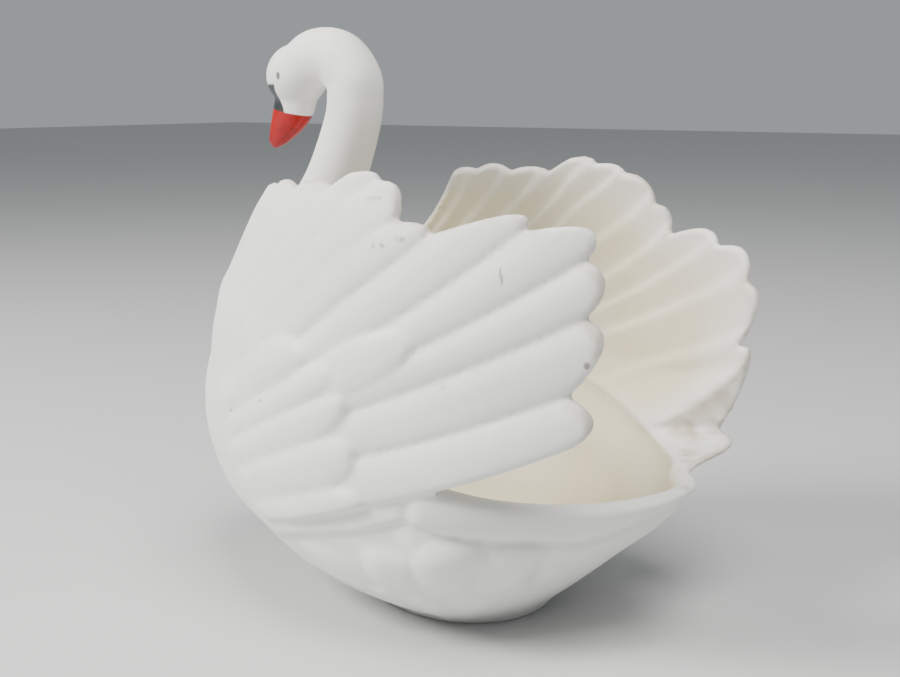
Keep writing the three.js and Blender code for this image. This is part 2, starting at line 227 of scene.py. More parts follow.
# %% [markdown]
# The belly carries big soft puffs of down with creases between them. Each is a height added along
# the skin's own normal. Where two puffs meet, the higher one counts, which makes the crease.
# %% Puffs of the belly
# Each puff: angle from the front, level, half its width in degrees, half its height, its rise
puff_list = [
    (135.5, 15.6, 9, 5.6, 2.5), (118.5, 15.6, 11, 6.2, 2.7), (99.5, 13.6, 11, 5.4, 2.2),
    (78, 11.2, 12, 5, 1.5), (56, 9.8, 11, 4.4, 1.0), (35, 9.2, 11, 4, 0.7),
    (129.5, 7.8, 9, 3.4, 1.3), (109, 7.2, 10, 3.3, 1.2), (89, 6.6, 10, 3, 1.0),
    (67, 6.0, 11, 2.8, 0.7),
]
puff_outline, puff_fullness = 2.3, 2.2


def puffs(angle, level):
    rise = np.zeros_like(level)
    for puff_angle, puff_level, width, tall, high in puff_list:
        across = np.abs(np.abs(angle) - puff_angle) / width
        up = np.abs((level - puff_level) / tall)
        far = (across ** puff_outline + up ** puff_outline) ** (1 / puff_outline)
        rise = np.maximum(rise, high * (1 - np.clip(far, 0, 1) ** puff_fullness))
    return rise


print(len(puff_list), "puffs a side, the highest", max(puff[-1] for puff in puff_list), "mm")

# %% [markdown]
# Each wing covers the body's side and leaves it at some angle from the front, the left wing sooner
# than the right. Below the wing's lower edge one more feather lies flat on the body.
# %% Under the wings
leaves_body = {1: (101, 110), -1: (148, 158)}
under_feather_height = 1.3
# The feather's lower edge rises to the rear from a level at one angle, and fades in and out
edge_level, edge_angle, edge_slope = 18.1, 79, 0.235
edge_softness = (-0.35, 0.45)
feather_starts, feather_stops = (52, 66), (103.5, 106.5)


def under_wing(angle):
    left = 1 - smooth(np.abs(angle), *leaves_body[1])
    right = 1 - smooth(np.abs(angle), *leaves_body[-1])
    return np.where(angle > 0, left, right)


def under_feather(angle, level):
    turned = np.abs(angle)
    edge = edge_level + edge_slope * (turned - edge_angle)
    along_it = smooth(turned, *feather_starts) * (1 - smooth(turned, *feather_stops))
    return under_feather_height * along_it * smooth(level - edge, *edge_softness)


print("the wings leave the body at", leaves_body[1][1], "and", leaves_body[-1][1], "degrees from the front")

# %% [markdown]
# A thick rolled rim runs round the tail over a long groove with a low ridge below it, and a deep
# dimple ends the row of puffs. They are heights along the normal too, so all the relief of the body
# is one sum.
# %% Relief of the tail
# How far below the rim the groove runs at angles from the front, in millimetres
groove_angles = [100, 112, 123, 134, 149, 159, 166, 176, 180]
groove_depths = [9, 8.5, 7.6, 6.8, 7.0, 5.4, 3.2, 1.9, 1.7]
tail_starts, ridge_starts, tip_starts = (100, 112), (138, 152), (160, 180)
thin_at_tip = 0.45
roll_fullness = 2.4
groove_depth, groove_offset, groove_width = 0.7, 0.3, 0.7
ridge_height, ridge_offset, ridge_width = 0.9, 3.0, 1.4
dimple_angle, dimple_level, dimple_slant = 146.3, 14.4, 0.9
dimple_depth, dimple_width, dimple_tall = 2.1, 2.6, 3.4


def bell(at, centre, width, sharpness=2):
    return np.exp(-np.abs((at - centre) / width) ** sharpness)


def body_relief(angle, level):
    turned = np.abs(angle)
    rim = follow(rim_angles, rim_heights, turned)
    from_rim = (rim - level) * hundredth
    free = 1 - under_wing(angle)
    groove_at = follow(groove_angles, groove_depths, turned)
    thin = mix(1, thin_at_tip, smooth(turned, *tip_starts))
    across = np.clip(2 * from_rim / groove_at - 1, -1, 1)
    lip = rim_band * np.sqrt(1 - np.abs(across) ** roll_fullness)
    groove = groove_depth * bell(from_rim, groove_at + groove_offset, groove_width)
    ridge = ridge_height * bell(from_rim, groove_at + ridge_offset, ridge_width)
    ridge = ridge * smooth(turned, *ridge_starts)
    slanted = turned + (level - dimple_level) * dimple_slant
    dimple = dimple_depth * bell(slanted, dimple_angle, dimple_width)
    dimple = dimple * bell(level, dimple_level, dimple_tall, 4)
    tail_relief = free * smooth(turned, *tail_starts) * thin * (lip - groove + ridge)
    lumps = puffs(angle, level) + under_feather(angle, level)
    return tail_relief - dimple + lumps - wing_step * (1 - free)


print("rim band", rim_band, "mm, dimple", dimple_depth, "mm deep")

# %% [markdown]
# The outer body runs from the foot to the rim. Its rows crowd together near the foot and the rim,
# where the form turns fastest, and the last rows draw in to round the edge.
# %% Outer body
body_columns, body_rows = 301, 110
side_share = 0.88
crowding = 1.15
flat_foot = 0.01


def outer_body(u, v):
    angle = 360 * u - 180
    rim = follow(rim_angles, rim_heights, np.abs(angle))
    radius = rim_radius * (1 - under_wing(angle))
    turn = np.clip((v - side_share) / (1 - side_share), 0, 1) * math.pi / 2
    low = rim - radius / hundredth
    side_level = low * (v / side_share) ** crowding
    level = np.where(v < side_share, side_level, low + radius * np.sin(turn) / hundredth)
    out = np.where(level > flat_foot, body_relief(angle, level), 0) - radius * (1 - np.cos(turn))
    point = body_point(angle, level) + body_normal(angle, level) * out[:, None]
    point[:, 2] = level * hundredth
    return point


body = wrapped(body_columns, body_rows, outer_body, "body")
print("body", len(body.data.polygons), "faces")

# %% [markdown]
# The hollow is a solid of its own, a little smaller than the body and open upwards through a
# funnel. Taking it away from the body leaves walls of the true thickness, and taking it from the
# wings as well clears their roots out of the bowl.
# %% Hollow
hollow_rows = 101
# Up to the first share the skin is the wall's inner side, then the rim's rounding, then the funnel
wall_share, rim_share = 0.75, 0.9
inner_radius = rim_radius - 0.1
rim_lap = 0.3
lap_shares = (0.6, 1)
raised_share, over_rim = 0.89, 0.06
funnel_level, funnel_size = 75, 0.6


def hollow_skin(u, v):
    angle = 360 * u - 180
    rim = follow(rim_angles, rim_heights, np.abs(angle))
    under = under_wing(angle)
    radius = inner_radius * (1 - under)
    turn = np.clip((v - wall_share) / (rim_share - wall_share), 0, 1) * math.pi / 2
    low = rim - radius / hundredth
    share = np.clip(v / wall_share, 0, 1) ** crowding
    level = mix((bowl_floor - bowl_wall) / hundredth, low, share)
    level = np.where(v < wall_share, level, low + radius * np.sin(turn) / hundredth)
    at_rim = wing_wall - wing_step + rim_lap
    depth = mix(bowl_wall + wing_step * under, at_rim, under * smooth(share, *lap_shares))
    depth = depth - radius * (1 - np.cos(turn))
    point = body_point(angle, level) - body_normal(angle, level) * depth[:, None]
    point[:, 2] = np.where(v < wall_share, np.maximum(point[:, 2], bowl_floor), level * hundredth)
    point[:, 2] += np.where(v >= raised_share, over_rim, 0)
    mouth = point * [funnel_size, funnel_size, 0] + [0, 0, funnel_level * hundredth]
    rise = np.clip((v - rim_share) / (1 - rim_share), 0, 1)
    return mix(point, mouth, rise[:, None])


hollow = wrapped(body_columns, hollow_rows, hollow_skin, "hollow")
print("hollow", len(hollow.data.polygons), "faces")

# %% [markdown]
# A wing is a fan of feathers. Each feather edge rises from the breast, passes the wing's middle and
# ends as a notch between two tips, so three short lists describe the fan, and a fourth gives the
# tips. A place on the wing is then a number of feathers across and a share of the way out.
# %% Wing tables
root_angles = [24, 26, 28, 30, 31, 32, 34, 36, 38, 40, 43, 48]
root_heights = [43.5, 41, 38.5, 36, 33, 30, 28, 25, 22.5, 20, 17.4, 14]
middle_angles = [33, 42, 48, 56, 64, 70, 77, 83, 84, 84, 85, 88]
middle_heights = [57.4, 57.4, 55.7, 55, 54, 52.5, 49.5, 46, 42, 37.5, 31, 24]
left_wing = {
    "side": 1,
    "draws": (12, 13),
    "root": (root_angles, root_heights),
    "middle": (middle_angles, middle_heights),
    "notch": (
        [50, 58, 69, 84, 94.7, 98.7, 103.8, 118.1, 128.4, 128.4, 126, 125],
        [72.6, 74, 74, 74.8, 76, 70.3, 68.4, 69.6, 65.9, 57.6, 46.3, 38],
    ),
    "tip": (
        [52, 63, 77, 92.4, 98.6, 103.6, 117, 128.6, 131.6, 131.6, 130.2],
        [74.2, 75.3, 75.7, 77.4, 75, 70, 72.1, 70.3, 62.4, 53.8, 42.4],
    ),
}
right_wing = {
    "side": -1,
    "draws": (10.9, 11.9),
    "root": (root_angles + [50], root_heights + [12]),
    "middle": ([42, 46, 50] + middle_angles[3:] + [103], middle_heights + [23.5]),
    "notch": (
        [50, 58, 69, 82, 95, 101, 107.4, 110.8, 122, 130.4, 127.9, 124.6, 158],
        [72, 74.3, 74, 74, 75.7, 74.3, 68.8, 63.5, 62.3, 56.7, 44.7, 29.4, 24.5],
    ),
    "tip": (
        [51.7, 63.3, 76, 91.6, 99, 105.2, 109.9, 118.6, 128.4, 132.7, 130.8, 148],
        [74.2, 75.3, 74.8, 76.9, 75.7, 72.8, 67.5, 65.1, 62, 52.8, 43, 27.6],
    ),
}
free_feathers = len(left_wing["tip"][0])
for wing in (left_wing, right_wing):
    wing["feathers"] = len(wing["tip"][0])
    print("wing on side", wing["side"], "has", wing["feathers"], "feathers")

# %% [markdown]
# The middle line of a feather is a parabola through its root, middle and notch. Its rounded tip
# reaches past the line of the notches, furthest a little below the feather's own middle.
# %% Places on a wing
tip_skew = 0.62
tip_bluntness = 0.6
tip_growth = 5
across_step = 0.04


def stream(wing, axis, across, share, tipped):
    notch, tip = np.array(wing["notch"][axis], float), np.array(wing["tip"][axis], float)
    feather = np.clip(np.floor(across).astype(int), 0, wing["feathers"] - 1)
    inside = across - feather
    a, b = along(wing["root"][axis], across), along(wing["middle"][axis], across)
    c = mix(notch[feather], notch[feather + 1], inside)
    value = a + share * (4 * b - 3 * a - c) + 2 * share * share * (a - 2 * b + c)
    if not tipped:
        return value
    warped = np.clip(inside, 0, 1) ** (math.log(0.5) / math.log(tip_skew))
    lobe = np.maximum(np.sin(math.pi * warped), 0) ** tip_bluntness * np.clip(share, 0, 1) ** tip_growth
    return value + lobe * (tip[feather] - mix(notch[feather], notch[feather + 1], tip_skew))


def wing_point(wing, across, share, tipped=True):
    angle = stream(wing, 0, across, share, tipped) * wing["side"]
    level = stream(wing, 1, across, share, tipped)
    cling = smooth(across, *wing["draws"])[..., None]
    return mix(shell_point(angle, level), body_point(angle, level), cling)


def wing_normal(wing, across, share):
    step = across_step
    before, after = np.maximum(across - step, 0), np.minimum(across + step, wing["feathers"])
    down = wing_point(wing, after, share, False) - wing_point(wing, before, share, False)
    back = wing_point(wing, across, share + step, False) - wing_point(wing, across, share - step, False)
    return unit(np.cross(down, back)) * wing["side"]


last_tip = wing_point(left_wing, np.array([10.62]), np.array([1.0]))[0]
print("the left wing's last tip, in mm:", last_tip.round(1))

# %% [markdown]
# Behind the bowl's widest place the wings lean away from the pointed body. The casting fills that
# wedge: low down, the wing's inner skin goes inwards to the body's wall, and higher up it comes back
# to its own thickness, which makes the inside run on smoothly from the bowl into the wing.
# %% Wedge between wing and body
wedge_angles = (72, 90)
wedge_levels = (0.5, 7)


def wedge(wing, across, share):
    angle = stream(wing, 0, across, share, False)
    level = stream(wing, 1, across, share, False)
    rim = follow(rim_angles, rim_heights, angle)
    turned, low = angle * wing["side"], np.minimum(level, rim)
    joined = under_wing(turned) if wing["side"] > 0 else 1
    filled = smooth(angle, *wedge_angles) * joined * (1 - smooth(level - rim, *wedge_levels))
    seat = body_point(turned, low) - body_normal(turned, low) * bowl_wall
    return seat, filled


print("the wedge fills from", wedge_angles[0], "to", wedge_angles[1], "degrees from the front")

# %% [markdown]
# The feathers lie like shingles: each rises gently from under the one above it, is plump, and drops
# at its lower edge into a narrow crease. Where a shorter feather ends on a longer one, it swells and
# then steps down along a blunt rounded line.
# %% One feather's profile
plump_from, plumpness = 0.38, 2.4
tucked_width, tucked_share, crease_width = 0.4, 0.42, 0.035
lobe_power = 3.2
swell_length, swell_share = 0.08, 0.65
step_start, step_end = 0.003, 0.006


def shingle(inside):
    lower = np.clip((inside - plump_from) / (1 - plump_from), 0, 1)
    crease = (1 - tucked_share) * np.exp(-inside / crease_width)
    tucked = tucked_share * (1 - smooth(inside, 0, tucked_width)) + crease
    return -tucked - (1 - np.sqrt(1 - lower ** plumpness))


def lobe_end(inside, end, blunt=0.05):
    return end - blunt * np.abs(2 * inside - 1) ** lobe_power


def step_down(share, end):
    before = np.clip((share - (end - swell_length)) / swell_length, 0, 1)
    over = smooth(share, end - step_start, end + step_end)
    swell = 1 - swell_share * (1 - np.sqrt(1 - before ** plumpness))
    return swell * (1 - over), 1 - over


print("a feather's profile from edge to edge:", shingle(np.array([0, 0.4, 0.7, 0.9, 1])).round(2))

# %% [markdown]
# Over the roots of the long feathers lie shorter ones in two rows, and their ends form a curved line
# down the wing. The front of the wing is nearly smooth, so the relief fades in from there. Inside,
# the wing is pleated like a fan.
# %% Relief of the wings
first_deep = 6
fades_in = (first_deep - 1.1, first_deep + 0.4)
# Along a feather the relief grows from the root, and again near the tip on the smooth front
grows, grows_at_tip, tip_relief = (0.1, 0.4), (0.86, 1), 0.55
# Edges of the short feathers across the wing, and where each of them ends as a share of its length
short_edges = [0, 1.4, 2.8, 4.2, 5.5, 6.85, 8.1, 9.4, 10.4, 11.05, 12.1]
short_ends = [0.5, 0.5, 0.5, 0.5, 0.53, 0.563, 0.58, 0.585, 0.57, 0.57]
short_grows = (0.05, 0.4)
second_end, second_step, second_grows = 0.285, 0.35, (0.08, 0.2)
# One longer lobe lies under the short feathers: its edges across, its end, bluntness and height
lobe_start, lobe_stop, long_lobe_end = 6.9, 8.42, 0.705
long_lobe_blunt, long_lobe_step, long_lobe_groove = 0.08, 0.55, 0.7
pleat_grows, pleat_fold, pleat_drop = (0.3, 0.8), (0.8, 1), 1.05


def short_place(across):
    edges = np.array(short_edges)
    i = np.clip(np.searchsorted(edges, across, side="right") - 1, 0, len(short_ends) - 1)
    return i, (across - edges[i]) / (edges[i + 1] - edges[i])


def outside_relief(across, share):
    inside = across % 1
    deep = mix(faint_relief, 1, smooth(across, *fades_in))
    grown = np.maximum(smooth(share, *grows) * deep, smooth(share, *grows_at_tip) * tip_relief)
    rise = feather_groove * grown * shingle(inside)
    within = np.clip((across - lobe_start) / (lobe_stop - lobe_start), 0, 1)
    high, mask = step_down(share, lobe_end(within, long_lobe_end, long_lobe_blunt))
    mask = mask * (across > lobe_start) * (across < lobe_stop)
    lobe = long_lobe_step * covert_step * high + long_lobe_groove * shingle(within) * grown
    rise = mix(rise, lobe, mask)
    i, within = short_place(across)
    high, mask = step_down(share, lobe_end(within, np.array(short_ends)[i]))
    short = covert_step * deep * high * smooth(share, *short_grows) + shingle(within) * grown
    rise = mix(rise, short, mask)
    high, mask = step_down(share, lobe_end(within, second_end))
    return rise + second_step * deep * high * mask * smooth(share, *second_grows)


def inside_relief(across, share):
    inside = across % 1
    pleat = inside - pleat_drop * smooth(inside, *pleat_fold)
    return pleat_relief * smooth(share, *pleat_grows) * pleat


print(len(short_ends), "short feathers in a row over", free_feathers, "long ones")

# %% [markdown]
# Each wing is two grids, an outer and an inner skin, joined round their shared outline by bridging
# the two boundary loops. Rows crowd towards the tips so that the thick rounded edge of each feather
# has points enough to turn.
# %% Wings
edge_depths = np.array([2.6, 2.0, 1.5, 1.1, 0.75, 0.45, 0.22, 0.08, 0.0])
feather_length = 75
edge_radius = 1.0
shares = np.concatenate([np.linspace(0, 0.96, 110), 1 - edge_depths / feather_length])
rows = np.linspace(0, 1, len(shares))
columns_in_feather = 16
feather_width = 7
no_edge = 9
rooted_shares = (0, 0.45)
free_share = 0.25


def wing_skin(wing, u, v, outer):
    across = u * wing["feathers"]
    share = np.interp(v, rows, shares)
    point, normal = wing_point(wing, across, share), wing_normal(wing, across, share)
    base = mix(-wing_root, wing_step, smooth(share, *rooted_shares))
    depth = (1 - share) * feather_length
    to_lower_edge = np.where(across > free_feathers, no_edge, free_feathers - across)
    side_depth = np.minimum(across, to_lower_edge) * feather_width
    depth = np.minimum(depth, np.where(share > free_share, np.abs(side_depth), depth))
    inwards = np.maximum(edge_radius - depth, 0)
    edge = edge_radius - np.sqrt(np.maximum(edge_radius ** 2 - inwards ** 2, 0))
    if outer:
        out = base + outside_relief(across, share) - edge
    else:
        out = base - wing_wall + inside_relief(across, share) + edge
    skin = point + normal * out[:, None]
    if outer:
        return skin
    seat, filled = wedge(wing, across, share)
    return mix(skin, seat, filled[:, None])


def make_wing(wing, name):
    columns = wing["feathers"] * columns_in_feather + 1
    bm, u, v = grid(columns, len(shares))
    count = len(bm.verts)
    move(bm.verts, wing_skin(wing, u, v, True))
    bmesh.ops.duplicate(bm, geom=bm.verts[:] + bm.edges[:] + bm.faces[:])
    bm.verts.ensure_lookup_table()
    move(bm.verts[count:], wing_skin(wing, u, v, False))
    bmesh.ops.bridge_loops(bm, edges=boundary(bm))
    return finish_piece(bm, name)


wings = [make_wing(left_wing, "left_wing"), make_wing(right_wing, "right_wing")]
print("wings", [len(wing.data.polygons) for wing in wings], "faces")

# %% [markdown]
# The neck is a tube along a hooked line in the middle plane. Its line and radii are a few listed
# values again, and the bill is a short tapered tube that starts inside the head.
# %% Neck and bill
neck_reach = [51.5, 49, 44.5, 37, 31, 26.6, 25.7, 26.2, 29.5, 34.5, 38.6]
neck_heights = [38.5, 45, 53, 64, 72.5, 83, 88.5, 91.5, 94.7, 94.9, 92.6]
neck_radii = [1, 4.5, 6.6, 6, 5.5, 5.1, 5.05, 5.05, 5.15, 5.3, 4.9]
bill_reach = [38.8, 40.7, 44, 45.9]
bill_heights = [90, 85.8, 81.3, 79]
bill_depths = [3.6, 4.1, 2.5, 1]
bill_widths = [3.4, 3.1, 1.7, 0.9]
head_centre = np.array([0, -39.4, 92])
head_radii = np.array([5.5, 6, 5.7])
nudge = 0.02


def tube_skin(reach, heights, radii, widths):
    def line(at):
        return np.stack([0 * at, -along(reach, at), along(heights, at)], -1)

    def place(u, v):
        at = v * (len(reach) - 1)
        ahead = unit(line(at + nudge) - line(at - nudge))
        side = np.array([1.0, 0, 0])
        up = unit(np.cross(ahead, side))
        turn = 2 * math.pi * u
        around = np.cos(turn)[:, None] * side * along(widths, at)[:, None]
        return (line(at) + around + np.sin(turn)[:, None] * up * along(radii, at)[:, None]) * hundredth
    return place


neck = wrapped(65, 150, tube_skin(neck_reach, neck_heights, neck_radii, neck_radii), "neck")
bill = wrapped(49, 50, tube_skin(bill_reach, bill_heights, bill_depths, bill_widths), "bill")
print("neck", len(neck.data.polygons), "faces, bill", len(bill.data.polygons), "faces")

# %% [markdown]
# The head is an egg, a sphere stretched and then tilted halfway towards the bill's own slope, so the
# forehead runs down into the bill.
# %% Head
bm = bmesh.new()
bmesh.ops.create_uvsphere(bm, u_segments=64, v_segments=40, radius=1)
tilt = math.atan2(bill_heights[0] - bill_heights[3], bill_reach[3] - bill_reach[0]) / 2
for vert in bm.verts:
    x, y, z = np.array(vert.co) * head_radii
    turned = (x, y * math.cos(tilt) - z * math.sin(tilt), y * math.sin(tilt) + z * math.cos(tilt))
    vert.co = Vector((np.array(turned) + head_centre) * hundredth * MM)
head = finish_piece(bm, "head")
print("head", len(head.data.polygons), "faces, tilted by", round(math.degrees(tilt), 1), "degrees")

# %% [markdown]
# The finish changes over the swan: the bowl and the wings' inner faces are creamier, partly their own
# cream tone and partly painted shade, deepest low in the bowl. The feather tips and the rim near the tail's
# tip are rubbed brown, which on the tips' thick end faces is painted shade as well, and painted shade
# darkens the creases. The pieces know where those places are, so each point of them is noted with three
# masks before they are melted into one.
# %% Notes for the finish
noted_points, noted_masks = [], []
# The brown of a tip, rubbed patina and painted shade together, fades over these depths from its end, in
# millimetres
tip_fades, tip_brown, tip_brown_inside = (1.7, 0.4), 0.8, 0.35
# A crease, where painted shade goes, lies on both sides of a feather's edge and starts some way out from
# the wing's root
above_edge, below_edge, crease_grows = (0.9, 1), (0, 0.06), (0.45, 0.6)
cream_and_shade_fades, cream_and_shade_at_tip = (0.8, 0.98), 0.35
end_face = 0.999


def places(columns, rows):
    across, up = np.meshgrid(np.linspace(0, 1, columns), np.linspace(0, 1, rows))
    return across.ravel(), up.ravel()


def note(points, inner=0.0, edge=0.0, crease=0.0):
    masks = np.stack([np.broadcast_to(mask, len(points)) for mask in (inner, edge, crease)], -1)
    noted_points.append(points * MM)
    noted_masks.append(masks)


def note_wing(wing):
    u, v = places(wing["feathers"] * columns_in_feather + 1, len(shares))
    across, share = u * wing["feathers"], np.interp(v, rows, shares)
    inside = across % 1
    edge = smooth((1 - share) * feather_length, *tip_fades)
    crease = np.maximum(smooth(inside, *above_edge), 1 - smooth(inside, *below_edge))
    crease = crease * smooth(share, *crease_grows)
    outer, inner = wing_skin(wing, u, v, True), wing_skin(wing, u, v, False)
    note(outer, 0, edge * tip_brown, crease)
    # The tips' thick end faces get full brown, some cream and a little crease darkening: painted shade on
    # faces turned from the light, with rubbed patina.
    note(((outer + inner) / 2)[share > end_face], 0.5, 1, 0.2)
    # The wing's inner face gets cream and painted shade, less of it towards the tips.
    note(inner, mix(1, cream_and_shade_at_tip, smooth(share, *cream_and_shade_fades)), edge * tip_brown_inside, crease / 2)


u, v = places(body_columns, hollow_rows)
from_tip = np.abs(np.abs(360 * u - 180) - 180)
rim_brown = mix(0.9, 0.1, smooth(from_tip, 1, 8))
note(outer_body(u, v), 0, smooth(v, 0.9, 1) * rim_brown, 0)
bowl = v < rim_share
# The bowl gets cream and painted shade, full deep down and less towards the rim.
note(hollow_skin(u, v)[bowl], 1 - 0.7 * smooth(v, 0.72, 0.88)[bowl], 0, 0)
for wing in (left_wing, right_wing):
    note_wing(wing)
for piece in (neck, bill, head):
    note(np.array([vert.co[:] for vert in piece.data.vertices]) / MM)
noted_points, noted_masks = np.concatenate(noted_points), np.concatenate(noted_masks)
print("noted", len(noted_points), "points")

# %% [markdown]
# Now the casting is put together. The hollow is cut from the body and from each wing with a boolean,
# then every piece goes into one mesh, and a voxel remesh turns the overlapping pieces into a single
# skin with soft inner corners. The voxel is smaller than the thinnest groove.
# %% Cut, join and remesh
voxel = 0.6 * MM


def cut(piece, tool):
    modifier = piece.modifiers.new("hollow", "BOOLEAN")
    modifier.operation = "DIFFERENCE"
    modifier.solver = "MANIFOLD"
    modifier.object = tool


def applied(piece):
    bpy.context.view_layer.update()
    depsgraph = bpy.context.evaluated_depsgraph_get()
    return bpy.data.meshes.new_from_object(piece.evaluated_get(depsgraph))


def settle(piece):
    mesh = applied(piece)
    piece.modifiers.clear()
    piece.data = mesh
    return mesh


def triangles_of(mesh):
    return sum(len(face.vertices) - 2 for face in mesh.polygons)


for piece in (body, *wings):
    cut(piece, hollow)
bm = bmesh.new()
for piece in (body, *wings, neck, bill, head):
    bm.from_mesh(applied(piece))
for piece in (body, *wings, neck, bill, head, hollow):
    bpy.data.objects.remove(piece)
joined = bpy.data.meshes.new("joined")
bm.to_mesh(joined)
bm.free()
swan = bpy.data.objects.new("swan_bisque", joined)
bpy.context.scene.collection.objects.link(swan)
remesh = swan.modifiers.new("melt", "REMESH")
remesh.mode = "VOXEL"
remesh.voxel_size = voxel
remesh.adaptivity = 0
melted = settle(swan)
print("one skin of", triangles_of(melted), "triangles")

# %% [markdown]
# The remesh can leave loose shells where two skins nearly touch. Only the largest one is the swan.
# Then the points are relaxed once, which takes away the voxel's steps.
# %% Keep the one skin and relax it
bm = bmesh.new()
bm.from_mesh(melted)
seen = set()
shells = []
for start in bm.verts:
    if start in seen:
        continue
    shell, waiting = [start], [start]
    seen.add(start)
    while waiting:
        vert = waiting.pop()
        for edge in vert.link_edges:
            other = edge.other_vert(vert)
            if other not in seen:
                seen.add(other)
                shell.append(other)
                waiting.append(other)
    shells.append(shell)
shells.sort(key=len, reverse=True)
for shell in shells[1:]:
    bmesh.ops.delete(bm, geom=shell, context="VERTS")
bmesh.ops.smooth_vert(bm, verts=bm.verts, factor=0.5, use_axis_x=True, use_axis_y=True, use_axis_z=True)
bm.to_mesh(melted)
bm.free()
print("shells", len(shells), "kept", len(melted.vertices), "points")

# %% [markdown]
# A decimate modifier then merges points where the skin is nearly flat and keeps them in the creases,
# so the mesh stays light without losing a feather's edge.
# %% Thin the skin out
most_triangles = 190000
thin_out = swan.modifiers.new("thin out", "DECIMATE")
thin_out.ratio = most_triangles / (2 * len(melted.vertices))
melted = settle(swan)
for face in melted.polygons:
    face.use_smooth = True
print("thinned to", triangles_of(melted), "triangles")

# %% [markdown]
# Each point of the melted skin takes the masks of the noted points closest to it, and the masks are
# kept on the mesh as attributes that the material reads.
# %% Masks on the skin
nearest = KDTree(len(noted_points))
for index, point in enumerate(noted_points):
    nearest.insert(point, index)
nearest.balance()
closest_points = 4
least_distance = 0.1 * MM
masks = np.zeros((len(melted.vertices), 3))
for vert in melted.vertices:
    near = nearest.find_n(vert.co, closest_points)
    weights = np.array([1 / (distance + least_distance) for place, index, distance in near])
    masks[vert.index] = weights @ noted_masks[[index for place, index, distance in near]] / weights.sum()
for column, name in enumerate(("inner", "edge", "crease")):
    layer = melted.attributes.new(name, "FLOAT", "POINT")
    layer.data.foreach_set("value", masks[:, column].astype(np.float32))
    print("mask", name, "covers", round(float(masks[:, column].mean()), 3))

# %% [markdown]
# The camera stands where the photographer stood, about 27 cm away and a little above the swan. A
# 54 mm lens on a 36 mm sensor gives the same strong perspective.
# %% Camera
camera_data = bpy.data.cameras.new("camera")
camera = bpy.data.objects.new("camera", camera_data)
bpy.context.scene.collection.objects.link(camera)
lens_mm, sensor_mm = 54, 36
pitch_degrees = 10.43
level_direction = Vector((-0.8141, -0.5807, 0))
camera_data.lens = lens_mm
camera_data.sensor_width = sensor_mm
camera_data.clip_start = 0.01
camera.location = (0.2193, 0.15079, 0.10294)
pitch = math.radians(pitch_degrees)
ahead = level_direction * math.cos(pitch) - Vector((0, 0, math.sin(pitch)))
camera.rotation_euler = ahead.to_track_quat("-Z", "Y").to_euler()
bpy.context.scene.camera = camera
print("camera at", [round(v, 3) for v in camera.location])

# %% [markdown]
# Materials are easier to read when each node is made by one short call, and a link is made where a
# node is given another node's socket in place of a number.
# %% Node helpers
def add(tree, kind, inputs=(), **settings):
    node = tree.nodes.new(kind)
    for name, value in settings.items():
        setattr(node, name, value)
    for name, value in dict(inputs).items():
        if isinstance(value, bpy.types.NodeSocket):
            tree.links.new(value, node.inputs[name])
        else:
            node.inputs[name].default_value = value
    return node


def attribute(tree, name):
    return add(tree, "ShaderNodeAttribute", attribute_name=name).outputs["Fac"]


def between(tree, value, start, end):
    inputs = {"Value": value, "From Min": start, "From Max": end}
    return add(tree, "ShaderNodeMapRange", inputs, interpolation_type="SMOOTHSTEP").outputs["Result"]


def maths(tree, operation, first, second, third=0.0):
    inputs = {0: first, 1: second, 2: third}
    return add(tree, "ShaderNodeMath", inputs, operation=operation).outputs[0]


def blend(tree, share, low, high):
    inputs = {"Factor": share, "A": low, "B": high}
    return add(tree, "ShaderNodeMix", inputs, data_type="RGBA").outputs["Result"]


def noise(tree, where, scale, detail=3.0, roughness=0.55):
    inputs = {"Vector": where, "Scale": scale, "Detail": detail, "Roughness": roughness}
    return add(tree, "ShaderNodeTexNoise", inputs).outputs["Fac"]


print("helpers for nodes:", ", ".join(f.__name__ for f in (add, attribute, between, maths, blend, noise)))

# %% [markdown]
# Kiln specks and pinholes are tiny round spots scattered far apart. One node group makes them at any
# scale: it keeps only the few cells of a Voronoi pattern whose random colour is near one end.
# %% Speck group
specks = bpy.data.node_groups.new("kiln_specks", "ShaderNodeTree")
for name, kind in (("Where", "NodeSocketVector"), ("Scale", "NodeSocketFloat"),
                   ("Size", "NodeSocketFloat"), ("Share", "NodeSocketFloat")):
    specks.interface.new_socket(name, in_out="INPUT", socket_type=kind)
specks.interface.new_socket("Mask", in_out="OUTPUT", socket_type="NodeSocketFloat")
given = specks.nodes.new("NodeGroupInput")
pattern = {"Vector": given.outputs["Where"], "Scale": given.outputs["Scale"]}
cells = add(specks, "ShaderNodeTexVoronoi", pattern)
spot = maths(specks, "LESS_THAN", cells.outputs["Distance"], given.outputs["Size"])
chance = add(specks, "ShaderNodeSeparateColor", {"Color": cells.outputs["Color"]}).outputs["Red"]
rare = maths(specks, "LESS_THAN", chance, given.outputs["Share"])
result = specks.nodes.new("NodeGroupOutput")
specks.links.new(maths(specks, "MULTIPLY", spot, rare), result.inputs["Mask"])
print("speck group has", len(specks.nodes), "nodes")

